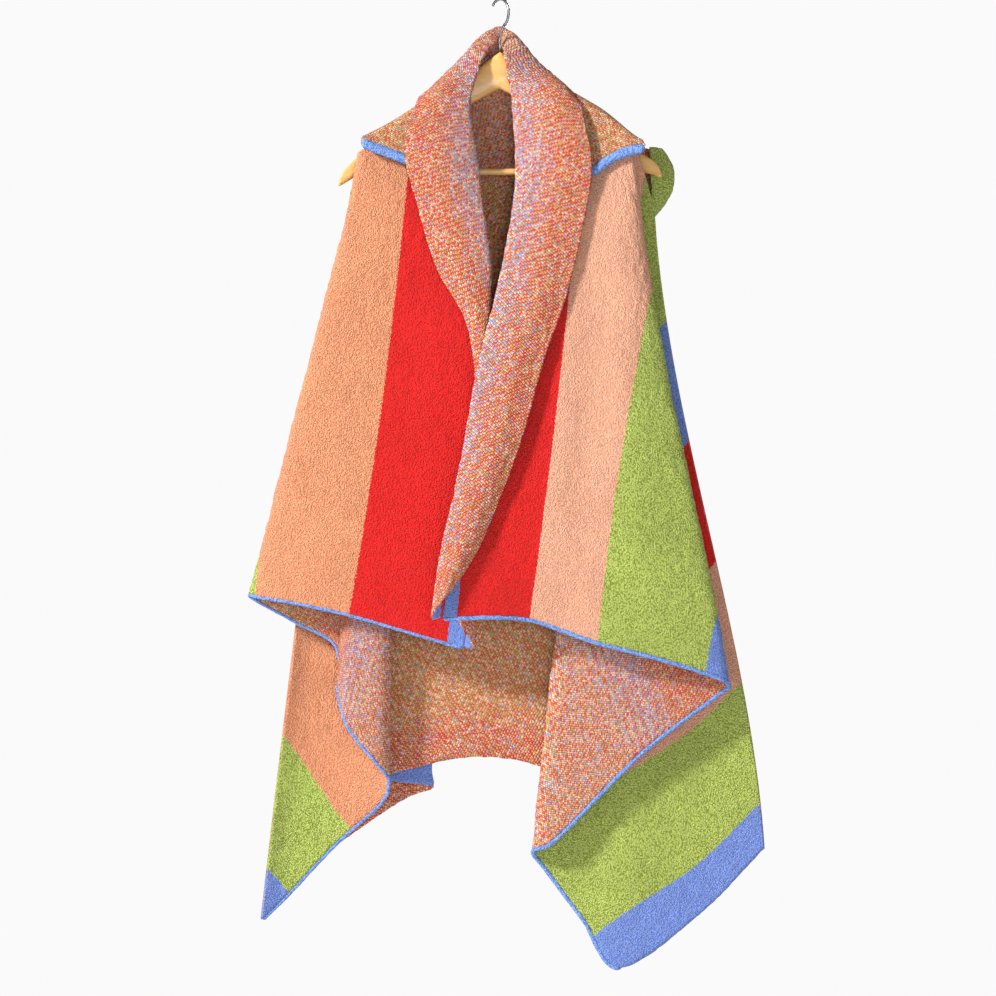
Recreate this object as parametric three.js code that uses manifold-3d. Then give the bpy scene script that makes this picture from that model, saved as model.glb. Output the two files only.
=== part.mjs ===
// Knitted poncho wrap on a wooden hanger, in millimetres, +Z up.
// The origin is the inside top of the hook, where a rail or peg holds it. The front faces -Y.
// "Left" and "right" are the wearer's own, so the left front lies on the +X side.

import * as THREE from "three";
import { mergeVertices } from "three/addons/utils/BufferGeometryUtils.js";
import Module from "manifold-3d";

// Driving dimensions of the cloth
const WALL = 4;
const SEAM_GAP = 0.3;
const ARMPIT_Z = -299;
const SHOULDER = { insetX: 100, insetZ: -138, slope: 0.74 };
const FRONT_DROP = 8;
const BACK_DROP = 5;
const LEVELS_ABOVE_ARMPIT = 4;
const LEVELS_BELOW_ARMPIT = 12;
const FRONT_STEPS = 2;
const COLLAR_STEPS = { along: 3, across: 3 };
const YOKE_STEPS = { along: 4, across: 3 };
const EDGING_RADIUS = 2.3;
const EDGING_SIDES = 6;
const BAND_RADIUS = 6.8;
const BAND_SIDES = 10;

// Driving dimensions of the hanger
const HANGER = { reach: 222, peakZ: -71, peakDrop: 51, tipThickness: 11, midThickness: 17, sweep: 25, leftTipLift: 12 };
const BAR = { radius: 4.5, reach: 200, y: -20.5, z: -238 };
const HOOK = { wire: 2, ring: 20, turn: 53, shankZ: -71, end: 150 };

// Each row is one fold line of the cloth, from the shoulder down to the hem. It passes the armpit level at
// pitX, pitY, and bows by bowX, bowY halfway from there to the hem. puff swells it sideways above the armpit,
// sway bends it in and out again below, and lift raises its top.
const COLUMNS = ["name", "topX", "topY", "pitX", "pitY", "hemX", "hemY", "hemZ", "bowX", "bowY", "puff", "sway", "lift"];

const LEFT_FRONT_FOLDS = [
  ["under the collar", 91, -30, 45, -52, -77, -98, -848, -10, -4, 0, 0, 0],
  ["red stripe", 98, -31, 71, -53, -8, -92, -846, 0, -2, 0, 0, 0],
  ["red to salmon", 112, -33, 95, -53, 41, -80, -850, 7, 0, 0, 0, 0],
  ["salmon stripe", 138, -38, 138, -56, 88, -80, -865, 4, 0, 0, 0, 0],
  ["salmon to green", 158, -43, 165, -57, 133, -84, -881, 6, 0, 0, 0, 0],
  ["green stripe", 170, -47, 179, -56, 213, -76, -902, 0, 0, 0, 0, 0],
  ["before the front ridge", 176, -51, 187, -53, 292, -62, -927, -2, 0, 0, -3, 0],
  ["front ridge", 178, -49.5, 190, -49, 312, -50, -940, -2, 0, 0, -3, 0],
  ["behind the front ridge", 178.5, -47.5, 187, -44, 296, -40, -955, -2, 0, 0, -3, 0],
  ["side fold", 179.5, -46, 178, -40, 192, -38, -1035, 0, 0, 0, 0, 0],
  ["before the valley", 180.5, -45, 169, -37, 77, -36, -1151, -8, 0, 0, 0, 0],
  ["side valley", 181.5, -44, 166, -33, 47, -25, -1168, -10, 0, 0, 0, 0],
  ["behind the valley", 182.5, -43, 171, -29, 66, -12, -1197, -6, 0, 0, 0, 0],
  ["side panel", 184, -42, 181, -26, 117, -5, -1266, 0, 2, 0, 0, 0],
  ["lower corner", 185.5, -41, 191, -24.5, 167, -10, -1332, 0, 4, 0, 0, 0],
  ["end edge", 187, -40, 201, -23, 275, 2, -1260, 0, 4, 0, -4, 0],
  ["side ridge", 188, -39, 211, -22, 364, 8, -1170, 0, 0, 0, -9, 0],
];

const RIGHT_FRONT_FOLDS = [
  ["under the collar", -86, -30, -62, -42, -50, -58, -890, 30, 0, 0, 0, 0],
  ["red stripe", -103, -31, -97, -46, -137, -62, -864, 22, 0, 0, 0, 0],
  ["red to salmon", -121, -34, -132, -50, -206, -66, -844, 7, 0, 0, 0, 0],
  ["salmon stripe", -150, -41, -167, -54, -273, -66, -829, 5, 0, 0, 0, 0],
  ["before the front ridge", -184, -50, -203, -54, -327, -62, -820, 0, 0, 0, 0, 0],
  ["front ridge", -191, -48.5, -208, -49, -342, -51, -817, 0, 0, 0, 0, 0],
  ["behind the front ridge", -191, -46.5, -205, -44, -331, -42, -826, 0, 0, 0, 0, 0],
  ["side fold", -189.5, -45, -197, -40, -281, -30, -854, 0, 0, 0, 0, 0],
  ["inner crease", -188.5, -44, -188, -36, -226, -21, -903, 0, 0, 0, 0, 0],
  ["roll side", -188, -43, -184, -35.5, -222, -30, -950, 0, 0, 0, 0, 0],
  ["roll front", -187.5, -42, -179, -35, -206, -44, -1000, 0, 0, 0, 0, 0],
  ["before the valley", -187, -41, -172, -32, -168, -40, -1048, 5, 0, 0, 0, 0],
  ["side valley", -187.5, -40, -169, -27, -153, -24, -1072, 7, 2, 0, 0, 0],
  ["behind the valley", -188.5, -39, -174, -22, -165, -7, -1105, 4, 3, 0, 0, 0],
  ["side panel", -190, -38, -184, -18, -228, 5, -1163, 0, 4, 0, 0, 0],
  ["near the corner", -192, -37, -196, -17, -295, 3, -1234, 0, 4, 0, 0, 0],
  ["lower corner", -194, -36, -206, -19, -328, -8, -1266, -3, 2, 0, 0, 0],
];

const BACK_FOLDS = [
  ["left side ridge", 207, -8, 211, -22, 364, 8, -1170, 0, 0, 0, -9, 18],
  ["armhole flap", 222, 0, 210, -6, 344, 30, -1163, 0, 0, 24, -9, 28],
  ["left shoulder blade", 196, 13, 198, 12, 268, 52, -1135, 0, 4, 16, -6, 10],
  ["left pleat top", 166, 14, 178, 20, 150, 56, -1094, 6, 10, 0, 0, 0],
  ["left pleat edge", 158, 14, 168, 21, 118, 46, -1086, 10, 4, 0, 0, 0],
  ["left pleat under", 150, 14, 160, 21, 150, 35, -1086, 6, 0, 0, 0, 0],
  ["left pleat inside", 142, 13, 150, 20, 238, 31, -1088, -10, -1, 0, 0, 0],
  ["left pleat root", 134, 13, 141, 19, 262, 22, -1084, -14, -3, 0, 0, 0],
  ["left back", 122, 12, 130, 18, 236, 13, -1080, -10, -6, 0, 0, 0],
  ["left of centre", 84, 11, 82, 17, 96, 12, -1066, 0, 0, 0, 0, 0],
  ["centre back", 4, 11, 4, 17, 14, 18, -1046, 0, 0, 0, 0, 0],
  ["right of centre", -74, 11, -72, 17, -58, 12, -1045, 0, 0, 0, 0, 0],
  ["right back", -120, 12, -128, 18, -150, 9, -1066, 0, -4, 0, 0, 0],
  ["right pleat root", -132, 13, -139, 19, -176, 18, -1076, 6, -3, 0, 0, 0],
  ["right pleat inside", -140, 13, -148, 20, -150, 28, -1078, 8, -1, 0, 0, 0],
  ["right pleat edge", -150, 14, -160, 21, -93, 42, -1087, -8, 3, 0, 0, 0],
  ["right pleat top", -160, 14, -172, 20, -140, 52, -1108, -4, 8, 0, 0, 0],
  ["right shoulder blade", -176, 13, -194, 12, -250, 40, -1186, 0, 4, 0, 0, 0],
  ["armhole edge", -187, 8, -207, -6, -318, 10, -1256, 0, 2, -2, 0, -9],
  ["right lower corner", -189, 2, -206, -19, -328, -8, -1266, -3, 2, -3, 0, -9],
];

// The collar's sections, from the left hem up round the neck and down to the right hem.
const COLLAR_SECTIONS = [
  { edge: [-65, -107, -810], crest: [-80, -115, -828], roll: [-92, -108, -848], inner: [-79.5, -99, -848] },
  { edge: [-30, -97, -754], crest: [-55, -109, -761], roll: [-82, -104, -772], inner: [-67, -94, -769] },
  { edge: [21, -86, -629], crest: [-11, -99, -632], roll: [-51, -94, -636], inner: [-40.5, -84, -634] },
  { edge: [59, -75, -498], crest: [20, -88, -500], roll: [-27, -83, -505], inner: [-11, -73, -502] },
  { edge: [92, -67, -401], crest: [48, -80, -401], roll: [-1, -72, -401], inner: [14.5, -63.5, -401] },
  { edge: [118, -66, -287], crest: [70, -72, -285], roll: [21, -60, -284], inner: [45, -51, -290] },
  { edge: [124, -68, -225], crest: [76, -71, -222], roll: [23, -51, -216], inner: [67, -40, -222] },
  { edge: [113, -57, -166], crest: [72, -56, -150], roll: [19, -40, -165], inner: [76, -31, -172] },
  { edge: [110, -41, -141], crest: [78, -44, -122], roll: [16, -32, -132], inner: [62, -26, -146] },
  { edge: [109, -16, -132], crest: [76, -20, -109], roll: [11, -22, -104], inner: [44, -20, -118] },
  { edge: [104, 24, -150], crest: [58, -4, -90], roll: [9, -14, -84], inner: [28, -13, -88] },
  { edge: [48, 44, -206], crest: [32, 16, -62], roll: [5, 3, -62], inner: [17, 13, -72] },
  { edge: [0, 44, -212], crest: [0, 26, -47], roll: [0, 15, -52], inner: [0, 20, -86] },
  { edge: [-48, 44, -206], crest: [-32, 16, -60], roll: [-11, 3, -60], inner: [-20, 13, -72] },
  { edge: [-106, 24, -148], crest: [-58, -4, -85], roll: [-24, -14, -80], inner: [-40, -13, -94] },
  { edge: [-114, -16, -131], crest: [-80, -20, -110], roll: [-34, -24, -106], inner: [-52, -20, -122] },
  { edge: [-116, -41, -143], crest: [-84, -46, -128], roll: [-41, -36, -134], inner: [-64, -27, -148] },
  { edge: [-120, -57, -168], crest: [-86, -54, -156], roll: [-42, -42, -164], inner: [-71, -31, -174] },
  { edge: [-129, -68, -216], crest: [-82, -70, -216], roll: [-32, -50, -216], inner: [-74, -38, -218] },
  { edge: [-112, -66, -285], crest: [-70, -68, -285], roll: [-25, -56, -285], inner: [-62, -43, -290] },
  { edge: [-85, -62, -373], crest: [-50, -69, -373], roll: [-13, -60, -373], inner: [-44, -46, -373] },
  { edge: [-41, -60, -463], crest: [-28, -66, -463], roll: [-15, -60, -463], inner: [-27, -48, -463] },
  { edge: [-32, -63, -620], crest: [-20, -68, -620], roll: [-4, -62, -620], inner: [-14, -52, -620] },
  { edge: [-58, -71, -850], crest: [-46, -76, -872], roll: [-37, -68, -890], inner: [-47.5, -60, -890] },
];

// The yokes' sections, from under the collar out to the shoulder tip.
const LEFT_YOKE_SECTIONS = [
  { back: [100, 8.3, -147], top: [101, -10, -142.2], brow: [104, -36, -146], face: [111, -46, -180], low: [119, -57, -238] },
  { back: [140, 8.3, -178], top: [141, -14, -171.7], brow: [143, -42.5, -173], face: [146, -50, -192], low: [150, -57.5, -216] },
  { back: [176, 6, -204], top: [176, -18, -197.7], brow: [177, -50, -196], face: [177.5, -58, -199], low: [179, -61, -205] },
  { back: [190, 5, -211], top: [191, -20, -205], brow: [194, -51, -200], face: [196, -58, -201], low: [198, -61, -204] },
];

const RIGHT_YOKE_SECTIONS = [
  { back: [-100, 8.3, -147], top: [-101, -10, -142.2], brow: [-104, -36, -146], face: [-110, -44, -172], low: [-119, -56.5, -220] },
  { back: [-140, 8.3, -178], top: [-141, -14, -171.7], brow: [-143, -42.5, -173], face: [-145, -50, -187], low: [-149, -58, -209] },
  { back: [-176, 6, -204], top: [-176, -18, -197.7], brow: [-177, -49, -194.5], face: [-177.5, -56, -195], low: [-179, -61, -199] },
  { back: [-186, 4, -212], top: [-186.5, -20, -205.5], brow: [-187, -50, -199.5], face: [-188, -57, -196], low: [-189, -61, -197] },
];

const { Manifold, Mesh } = await loadSolids();

async function loadSolids() {
  const wasm = await Module();
  wasm.setup();
  return wasm;
}

function point(values) {
  return new THREE.Vector3(...values);
}

function shoulderZ(x) {
  return SHOULDER.insetZ - SHOULDER.slope * (Math.abs(x) - SHOULDER.insetX);
}

function named(row) {
  return Object.fromEntries(COLUMNS.map((column, index) => [column, row[index]]));
}

// Points down one fold line: a soft curve to the armpit level, then a bowed line to the hem.
function foldLine(row, drop) {
  const fold = named(row);
  const top = point([fold.topX, fold.topY, shoulderZ(fold.topX) - drop + fold.lift]);
  const pit = point([fold.pitX, fold.pitY, ARMPIT_Z]);
  const hem = point([fold.hemX, fold.hemY, fold.hemZ]);
  const bow = point([fold.bowX, fold.bowY, 0]);
  const upperShare = (top.z - pit.z) / (pit.z - hem.z);
  const leaving = hem.clone().sub(pit).addScaledVector(bow, 4);
  leaving.x += 10.4 * fold.sway;
  leaving.multiplyScalar(upperShare);
  const line = [];
  for (let level = 0; level < LEVELS_ABOVE_ARMPIT; level++) {
    const t = level / LEVELS_ABOVE_ARMPIT;
    const straight = top.clone().lerp(pit, t);
    const bend = pit.clone().sub(top).sub(leaving).multiplyScalar(t * t * (1 - t));
    straight.x += 4 * t * (1 - t) * fold.puff;
    line.push(straight.add(bend));
  }
  for (let level = 0; level <= LEVELS_BELOW_ARMPIT; level++) {
    const t = level / LEVELS_BELOW_ARMPIT;
    const below = pit.clone().lerp(hem, t).addScaledVector(bow, 4 * t * (1 - t));
    below.x += 10.4 * t * (1 - t) * (1 - 2 * t) * fold.sway;
    line.push(below);
  }
  return line;
}

function between(a, b, c, d, t) {
  const blend = (p, q, r, s) =>
    q + 0.5 * t * (r - p + t * (2 * p - 5 * q + 4 * r - s + t * (3 * (q - r) + s - p)));
  return new THREE.Vector3(blend(a.x, b.x, c.x, d.x), blend(a.y, b.y, c.y, d.y), blend(a.z, b.z, c.z, d.z));
}

// Adds rounded in-between lines to a list of lines that all have the same number of points.
function fillBetween(lines, steps) {
  const filled = [];
  for (let i = 0; i < lines.length - 1; i++) {
    for (let step = 0; step < steps; step++) {
      const before = lines[Math.max(i - 1, 0)];
      const after = lines[Math.min(i + 2, lines.length - 1)];
      filled.push(lines[i].map((p, j) => between(before[j], p, lines[i + 1][j], after[j], step / steps)));
    }
  }
  filled.push(lines.at(-1));
  return filled;
}

function transposed(grid) {
  return grid[0].map((_, j) => grid.map((line) => line[j]));
}

function normalAt(grid, i, j) {
  const along = grid[Math.min(i + 1, grid.length - 1)][j].clone().sub(grid[Math.max(i - 1, 0)][j]);
  const line = grid[i];
  const down = line[Math.min(j + 1, line.length - 1)].clone().sub(line[Math.max(j - 1, 0)]);
  return along.cross(down).normalize();
}

// A sheet is a grid of points with the direction its wall thickens in at each point.
function sheet(grid) {
  return { grid, normals: grid.map((line, i) => line.map((_, j) => normalAt(grid, i, j))) };
}

// Gives two sheets one mitred seam from the armpit level down, with a gap between them. Each side is given as
// a sheet, the index of its seam line and the index of the next line in.
function joinAtSide(first, second) {
  const facing = first.sheet.normals[first.at][LEVELS_ABOVE_ARMPIT].dot(
    second.sheet.normals[second.at][LEVELS_ABOVE_ARMPIT],
  );
  const flip = second.flipped ? -1 : 1;
  if (facing * flip < -0.99) throw new Error("the two sheets turn back on themselves at the seam");
  for (let j = LEVELS_ABOVE_ARMPIT; j < first.sheet.grid[first.at].length; j++) {
    const normal = first.sheet.normals[first.at][j].clone();
    normal.addScaledVector(second.sheet.normals[second.at][j], flip).normalize();
    const across = second.sheet.grid[second.next][j].clone().sub(first.sheet.grid[first.next][j]);
    across.addScaledVector(normal, -across.dot(normal)).setLength(SEAM_GAP / 2);
    first.sheet.grid[first.at][j] = first.sheet.grid[first.at][j].clone().sub(across);
    second.sheet.grid[second.at][j] = second.sheet.grid[second.at][j].clone().add(across);
    first.sheet.normals[first.at][j] = normal;
    second.sheet.normals[second.at][j] = normal.clone().multiplyScalar(flip);
  }
}

// A closed wall of even thickness round a sheet.
function wall({ grid, normals }, thickness = WALL) {
  const rows = grid[0].length;
  const count = grid.length * rows;
  const positions = [];
  for (const side of [0.5, -0.5]) {
    grid.forEach((line, i) =>
      line.forEach((p, j) => positions.push(...p.clone().addScaledVector(normals[i][j], side * thickness))),
    );
  }
  const faces = [];
  const quad = (a, b, c, d) => faces.push(a, b, c, a, c, d);
  const at = (i, j, inner) => i * rows + j + (inner ? count : 0);
  for (let i = 0; i < grid.length - 1; i++) {
    for (let j = 0; j < rows - 1; j++) {
      quad(at(i, j), at(i + 1, j), at(i + 1, j + 1), at(i, j + 1));
      quad(at(i, j, true), at(i, j + 1, true), at(i + 1, j + 1, true), at(i + 1, j, true));
    }
    quad(at(i, 0), at(i, 0, true), at(i + 1, 0, true), at(i + 1, 0));
    quad(at(i, rows - 1), at(i + 1, rows - 1), at(i + 1, rows - 1, true), at(i, rows - 1, true));
  }
  const last = grid.length - 1;
  for (let j = 0; j < rows - 1; j++) {
    quad(at(0, j), at(0, j + 1), at(0, j + 1, true), at(0, j, true));
    quad(at(last, j), at(last, j, true), at(last, j + 1, true), at(last, j + 1));
  }
  return solidGeometry(positions, faces);
}

// Rings of points joined into one closed body with flat ends.
function loft(rings) {
  const sides = rings[0].length;
  const centre = (ring) => ring.reduce((sum, p) => sum.add(p), new THREE.Vector3()).divideScalar(sides);
  const positions = rings.flat().flatMap((p) => [...p]);
  positions.push(...centre(rings[0]), ...centre(rings.at(-1)));
  const faces = [];
  const firstCentre = rings.length * sides;
  const lastRing = (rings.length - 1) * sides;
  for (let k = 0; k < sides; k++) {
    const next = (k + 1) % sides;
    for (let i = 0; i < rings.length - 1; i++) {
      const low = i * sides;
      const high = low + sides;
      faces.push(low + k, low + next, high + next, low + k, high + next, high + k);
    }
    faces.push(firstCentre, next, k, firstCentre + 1, lastRing + k, lastRing + next);
  }
  return solidGeometry(positions, faces);
}

// An indexed geometry whose faces point outwards.
function solidGeometry(positions, faces) {
  let volume = 0;
  const corner = (index) => new THREE.Vector3().fromArray(positions, 3 * index);
  for (let f = 0; f < faces.length; f += 3) {
    volume += corner(faces[f]).dot(corner(faces[f + 1]).cross(corner(faces[f + 2])));
  }
  const index = volume > 0 ? faces : faces.toReversed();
  const geometry = new THREE.BufferGeometry();
  geometry.setAttribute("position", new THREE.Float32BufferAttribute(positions, 3));
  geometry.setIndex(index);
  return geometry;
}

function tube(points, radius, sides, step) {
  const path = new THREE.CatmullRomCurve3(points, false, "centripetal");
  const section = new THREE.Shape(
    Array.from({ length: sides }, (_, k) => {
      const angle = (2 * Math.PI * k) / sides;
      return new THREE.Vector2(radius * Math.cos(angle), radius * Math.sin(angle));
    }),
  );
  const steps = Math.max(2, Math.round(path.getLength() / step));
  return new THREE.ExtrudeGeometry(section, { steps, extrudePath: path, bevelEnabled: false });
}

function toSolid(geometry) {
  const bare = geometry.clone();
  bare.deleteAttribute("normal");
  bare.deleteAttribute("uv");
  const merged = mergeVertices(bare, 1e-3);
  return new Manifold(
    new Mesh({
      numProp: 3,
      vertProperties: merged.attributes.position.array,
      triVerts: new Uint32Array(merged.index.array),
    }),
  );
}

function fromSolid(solid) {
  const mesh = solid.getMesh();
  const geometry = new THREE.BufferGeometry();
  geometry.setAttribute("position", new THREE.BufferAttribute(mesh.vertProperties, 3));
  geometry.setIndex(new THREE.BufferAttribute(mesh.triVerts, 1));
  return geometry;
}

function panelGrid(folds, drop) {
  return fillBetween(folds.map((row) => foldLine(row, drop)), FRONT_STEPS);
}

function sectionSheet(sections, names, steps) {
  const lines = sections.map((section) => names.map((name) => point(section[name])));
  return sheet(transposed(fillBetween(transposed(fillBetween(lines, steps.along)), steps.across)));
}

// A knitted roll that lies just past a sheet's lower edge, in step with the edge's own points.
function edging({ grid, normals }, last, radius = EDGING_RADIUS, sides = EDGING_SIDES) {
  const hem = grid.slice(0, last + 1).map((line) => line.at(-1));
  const rings = hem.map((p, i) => {
    const along = hem[Math.min(i + 1, last)].clone().sub(hem[Math.max(i - 1, 0)]);
    const normal = normals[i].at(-1);
    const down = p.clone().sub(grid[i].at(-2));
    const out = along.cross(normal).normalize();
    if (out.dot(down) < 0) out.negate();
    const centre = p.clone().addScaledVector(out, radius + SEAM_GAP * (radius > WALL ? 1 : 3));
    return Array.from({ length: sides }, (_, k) => {
      const angle = (2 * Math.PI * k) / sides;
      const spoke = centre.clone().addScaledVector(out, radius * Math.cos(angle));
      return spoke.addScaledVector(normal, radius * Math.sin(angle));
    });
  });
  return loft(rings);
}

function hangerRing(x) {
  const share = Math.abs(x) / HANGER.reach;
  const lift = HANGER.leftTipLift * THREE.MathUtils.smoothstep(x, 180, HANGER.reach);
  const top = HANGER.peakZ - SHOULDER.slope * Math.abs(x) + lift;
  const bottom = HANGER.peakZ - HANGER.peakDrop - 0.52 * Math.abs(x) - 0.0005 * x * x + lift;
  const round = Math.sqrt(Math.max(0, 1 - Math.max(0, (share - 0.78) / 0.22) ** 2));
  const height = Math.max(6, (top - bottom) * (0.25 + 0.75 * round));
  const middle = (top + bottom) / 2 - 6 * (1 - round);
  const thickness = THREE.MathUtils.lerp(HANGER.midThickness, HANGER.tipThickness, Math.sqrt(share));
  const y = -HANGER.sweep * share ** 1.6;
  return Array.from({ length: 12 }, (_, k) => {
    const angle = (2 * Math.PI * k) / 12;
    const square = (value) => Math.sign(value) * Math.abs(value) ** 0.6;
    return new THREE.Vector3(
      x,
      y + (thickness / 2) * square(Math.cos(angle)),
      middle + (height / 2) * square(Math.sin(angle)),
    );
  });
}

function hangerArms() {
  const rings = Array.from({ length: 29 }, (_, i) => hangerRing(HANGER.reach * (i / 14 - 1)));
  const socket = trouserBar(BAR.radius + SEAM_GAP, BAR.reach + SEAM_GAP);
  return fromSolid(toSolid(loft(rings)).subtract(toSolid(socket)));
}

function trouserBar(radius = BAR.radius, reach = BAR.reach) {
  return tube([point([-reach, BAR.y, BAR.z]), point([reach, BAR.y, BAR.z])], radius, 12, reach);
}

// The wire hook: a short shank, then most of a ring that is turned away from the arms' plane.
function hookWire() {
  const turn = THREE.MathUtils.degToRad(HOOK.turn);
  const ringZ = HOOK.wire - HOOK.ring;
  const points = [point([0, 0, HOOK.shankZ + SEAM_GAP]), point([0, 0, ringZ - 1.6 * HOOK.ring])];
  for (let degrees = -62; degrees <= HOOK.end; degrees += 22) {
    const angle = THREE.MathUtils.degToRad(degrees);
    const out = HOOK.ring * Math.cos(angle);
    points.push(point([out * Math.cos(turn), -out * Math.sin(turn), ringZ + HOOK.ring * Math.sin(angle)]));
  }
  return tube(points, HOOK.wire, 8, 4.5);
}

const leftFront = sheet(panelGrid(LEFT_FRONT_FOLDS, FRONT_DROP));
const rightFront = sheet(panelGrid(RIGHT_FRONT_FOLDS, FRONT_DROP));
const back = sheet(panelGrid(BACK_FOLDS, BACK_DROP));
const lastLeft = leftFront.grid.length - 1;
const lastRight = rightFront.grid.length - 1;
const lastBack = back.grid.length - 1;
joinAtSide({ sheet: leftFront, at: lastLeft, next: lastLeft - 1 }, { sheet: back, at: 0, next: 1 });
joinAtSide(
  { sheet: back, at: lastBack, next: lastBack - 1 },
  { sheet: rightFront, at: lastRight, next: lastRight - 1, flipped: true },
);

const cornerOf = (folds) => folds.findIndex((row) => row[0] === "lower corner") * FRONT_STEPS;
const leftCorner = cornerOf(LEFT_FRONT_FOLDS);
const rightCorner = cornerOf(RIGHT_FRONT_FOLDS);

const COLLAR_NAMES = ["edge", "crest", "roll", "inner"];
const YOKE_NAMES = ["back", "top", "brow", "face", "low"];
const leftYoke = sectionSheet(LEFT_YOKE_SECTIONS, YOKE_NAMES, YOKE_STEPS);
const rightYoke = sectionSheet(RIGHT_YOKE_SECTIONS, YOKE_NAMES, YOKE_STEPS);

function finish(color, roughness, metalness = 0) {
  return new THREE.MeshStandardMaterial({ color, roughness, metalness });
}

const KNIT = { red: 0xe22a25, marl: 0xc9826a, ochre: 0xc08a55, green: 0x97b84c, edging: 0x7f9fe8 };
const pieces = [
  ["front_left", wall(leftFront), finish(KNIT.green, 0.95)],
  ["front_right", wall(rightFront), finish(KNIT.red, 0.95)],
  ["back", wall(back), finish(KNIT.green, 0.95)],
  ["collar", wall(sectionSheet(COLLAR_SECTIONS, COLLAR_NAMES, COLLAR_STEPS)), finish(KNIT.marl, 0.95)],
  ["yoke_left", wall(leftYoke), finish(KNIT.ochre, 0.95)],
  ["yoke_right", wall(rightYoke), finish(KNIT.ochre, 0.95)],
  ["yoke_band_left", edging(leftYoke, leftYoke.grid.length - 1, BAND_RADIUS, BAND_SIDES), finish(KNIT.edging, 0.95)],
  ["yoke_band_right", edging(rightYoke, rightYoke.grid.length - 1, BAND_RADIUS, BAND_SIDES), finish(KNIT.edging, 0.95)],
  ["edging_left", edging(leftFront, leftCorner), finish(KNIT.edging, 0.95)],
  ["edging_right", edging(rightFront, rightCorner - 1), finish(KNIT.edging, 0.95)],
  ["hanger_arms", hangerArms(), finish(0xd9a25a, 0.45)],
  ["trouser_bar", trouserBar(), finish(0xd9a25a, 0.45)],
  ["hanger_hook", hookWire(), finish(0xb8b8b8, 0.25, 1)],
];

const poncho = new THREE.Group();
for (const [name, geometry, material] of pieces) {
  const mesh = new THREE.Mesh(geometry, material);
  mesh.name = name;
  poncho.add(mesh);
}

export default poncho;
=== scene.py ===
"""Knitted poncho wrap on a wooden hanger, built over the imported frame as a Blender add-on run as a script."""

import math
from collections import namedtuple

import bmesh
import bpy
import numpy as np
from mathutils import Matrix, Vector


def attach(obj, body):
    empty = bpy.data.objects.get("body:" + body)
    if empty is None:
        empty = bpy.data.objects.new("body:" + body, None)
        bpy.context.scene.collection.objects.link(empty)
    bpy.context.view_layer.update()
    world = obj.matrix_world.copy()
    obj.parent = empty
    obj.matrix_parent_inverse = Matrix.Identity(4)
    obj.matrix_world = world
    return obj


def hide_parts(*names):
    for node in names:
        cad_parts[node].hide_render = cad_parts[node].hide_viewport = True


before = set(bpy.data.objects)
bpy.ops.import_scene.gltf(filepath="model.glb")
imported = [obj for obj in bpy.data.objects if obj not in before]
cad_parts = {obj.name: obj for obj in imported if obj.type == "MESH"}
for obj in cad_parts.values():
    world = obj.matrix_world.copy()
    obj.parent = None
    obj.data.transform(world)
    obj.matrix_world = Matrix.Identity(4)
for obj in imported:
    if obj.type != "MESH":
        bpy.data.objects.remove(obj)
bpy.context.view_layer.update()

bl_info = {
    "name": "Knitted Poncho",
    "version": (1, 0, 0),
    "blender": (4, 5, 0),
    "location": "View3D > Sidebar > Poncho",
    "description": "Builds a striped knitted poncho wrap on a wooden hanger",
    "category": "Object",
}

# The photograph's frame

PHOTO_SIZE = 996
MM_PER_PIXEL = 1.373
VIEW_CENTRE = (-0.0027, -0.6865)
CAMERA_DISTANCE = 6.2

# The cloth's driving sizes, in millimetres

ARMPIT_Z = -299.0
SHOULDER_X = 100.0
SHOULDER_Z = -138.0
SHOULDER_SLOPE = 0.74
FRONT_DROP = 8.0
BACK_DROP = 5.0
STRIPE = 110 * MM_PER_PIXEL
ROWS_ABOVE_ARMPIT = 36

# The stripes repeat in this order along the cloth, and the first whole one starts this far from the back end
# edge, in stripe widths. Each has the colour of its loop tips, and a darker colour for the gaps between the
# loops, which is painted shade.

FIRST_STRIPE = 0.373
STRIPES = ("green", "salmon", "red", "blue")
TIP = {
    "green": (0.56, 0.67, 0.15),
    "salmon": (0.90, 0.38, 0.20),
    # Painted light: the same salmon yarn made lighter and paler for the wearer's left front
    "lit salmon": (0.93, 0.48, 0.32),
    "red": (0.90, 0.016, 0.012),
    "blue": (0.25, 0.37, 0.84),
}
# The gap colours are painted shade: the same yarns darkened where shade falls between the loops
GAP_SHADE = {
    "green": (0.21, 0.27, 0.03),
    "salmon": (0.64, 0.21, 0.09),
    # Painted light: the lighter salmon's gaps, for the wearer's left front
    "lit salmon": (0.74, 0.32, 0.18),
    "red": (0.58, 0.006, 0.006),
    "blue": (0.13, 0.21, 0.60),
}
# The edging's gap colour is painted shade: its blue yarn darkened between the loops
EDGING = {"tip": (0.29, 0.46, 0.88), "gap": (0.10, 0.19, 0.52)}
EDGING_RADIUS = {"left": 3.0, "right": 2.4}
PILE_SCALE = 430

# The stitches of the wrong side: their width and height in metres, and their slant in degrees

STITCH_SIZES = (0.0023, 0.0029)
STITCH_SLANT = 38

# The wrong side shows all the yarns, in shares that go with the stripe on the right side. The cream stitches
# are painted highlights on light salmon stitch tops, not a yarn of their own.

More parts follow.
